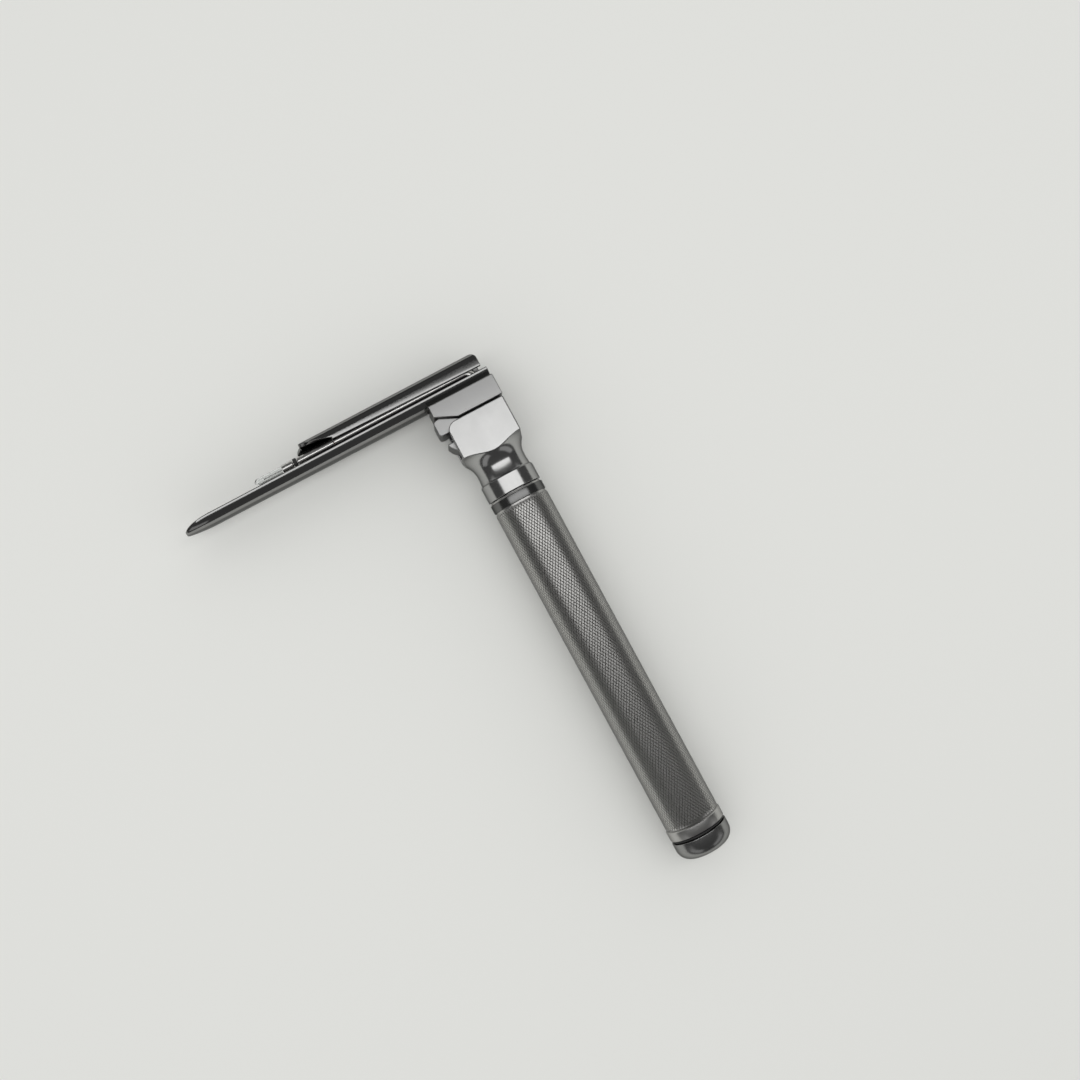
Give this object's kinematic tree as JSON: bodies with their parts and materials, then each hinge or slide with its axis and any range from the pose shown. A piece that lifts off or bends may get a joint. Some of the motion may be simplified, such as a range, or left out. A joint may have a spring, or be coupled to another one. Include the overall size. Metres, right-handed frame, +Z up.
{
  "type": "laryngoscope",
  "caption": "Hook-on laryngoscope: knurled battery handle with a forked head and a folding straight blade with a trough, flange, light tube and small lamp.",
  "frame": {"origin": "centre of the lowest face of the box, with the part lying on its side on the far cheek", "axes": "+Y along the handle from its bottom cap to the head, -X along the blade to its tip, +Z up, towards the lamp side"},
  "size_m": [0.0996, 0.1614, 0.0188],
  "materials": {
    "knurled_chrome": "diamond-knurled chrome plate",
    "bright_chrome": "polished chrome plate",
    "blade_chrome": "polished chrome plate, fine satin on the block",
    "spring_steel": "plain drawn wire and hardened steel",
    "contact_brass": "plain turned brass",
    "insulating_plastic": "moulded, matte",
    "black_rubber": "matte",
    "cell_wrap": "shrink wrap, bare",
    "clear_glass": "clear, polished",
    "lead_enamel": "enamelled"
  },
  "bodies": {
    "handle": {"handle_tube": "knurled_chrome", "head": "bright_chrome", "hook_pin": "spring_steel", "contact_insulator": "insulating_plastic", "contact_spring": "spring_steel", "contact_terminal": "contact_brass", "battery_upper": "cell_wrap", "battery_lower": "cell_wrap"},
    "contact": {"contact_plunger": "contact_brass"},
    "cap_ring": {"cap_seal": "black_rubber"},
    "cap": {"bottom_cap": "knurled_chrome", "battery_spring": "spring_steel"},
    "blade": {"blade_body": "blade_chrome", "heel": "blade_chrome", "contact_plate": "insulating_plastic", "heel_contact": "contact_brass", "detent_spring_near": "spring_steel", "detent_spring_far": "spring_steel", "light_tube": "bright_chrome", "lamp_socket": "bright_chrome", "lead_wire": "lead_enamel"},
    "near_ball": {"detent_ball_near": "spring_steel"},
    "far_ball": {"detent_ball_far": "spring_steel"},
    "lamp_collar": {"lamp_ring": "black_rubber"},
    "lamp": {"lamp_base": "contact_brass", "lamp_glass": "clear_glass"}
  },
  "joints": [
    {"name": "blade_fold", "type": "hinge", "parent": "handle", "child": "blade", "pos_m": [0.03388, 0.06115, 0.0094], "axis": [0, 0, 1], "range_deg": [0, 90]},
    {"name": "contact_press", "type": "slide", "parent": "handle", "child": "contact", "axis": [0, -1, 0], "range_m": [0, 0.0008], "stiffness_N_per_m": 500, "deforming": ["contact_spring"]},
    {"name": "near_ball_press", "type": "slide", "parent": "blade", "child": "near_ball", "axis": [0, 0, -1], "range_m": [0, 0.00025], "stiffness_N_per_m": 1000, "deforming": ["detent_spring_near"]},
    {"name": "far_ball_press", "type": "slide", "parent": "blade", "child": "far_ball", "axis": [0, 0, 1], "range_m": [0, 0.00025], "stiffness_N_per_m": 1000, "deforming": ["detent_spring_far"]},
    {"name": "cap_turn", "type": "hinge", "parent": "handle", "child": "cap_ring", "pos_m": [0.04007, -0.07335, 0.0094], "axis": [0, -1, 0], "range_deg": [0, 1440]},
    {"name": "cap_travel", "type": "slide", "parent": "cap_ring", "child": "cap", "axis": [0, -1, 0], "range_m": [0, 0.004]},
    {"name": "lamp_turn", "type": "hinge", "parent": "blade", "child": "lamp_collar", "pos_m": [-0.01153, 0.07615, 0.0124], "axis": [-1, 0, 0], "range_deg": [0, 2160]},
    {"name": "lamp_travel", "type": "slide", "parent": "lamp_collar", "child": "lamp", "axis": [-1, 0, 0], "range_m": [0, 0.003]}
  ],
  "couplings": [
    {"joint": "cap_travel", "follows": "cap_turn", "m_per_rad": 0.00015915},
    {"joint": "lamp_turn", "follows": "lamp_travel", "rad_per_m": 12566}
  ]
}
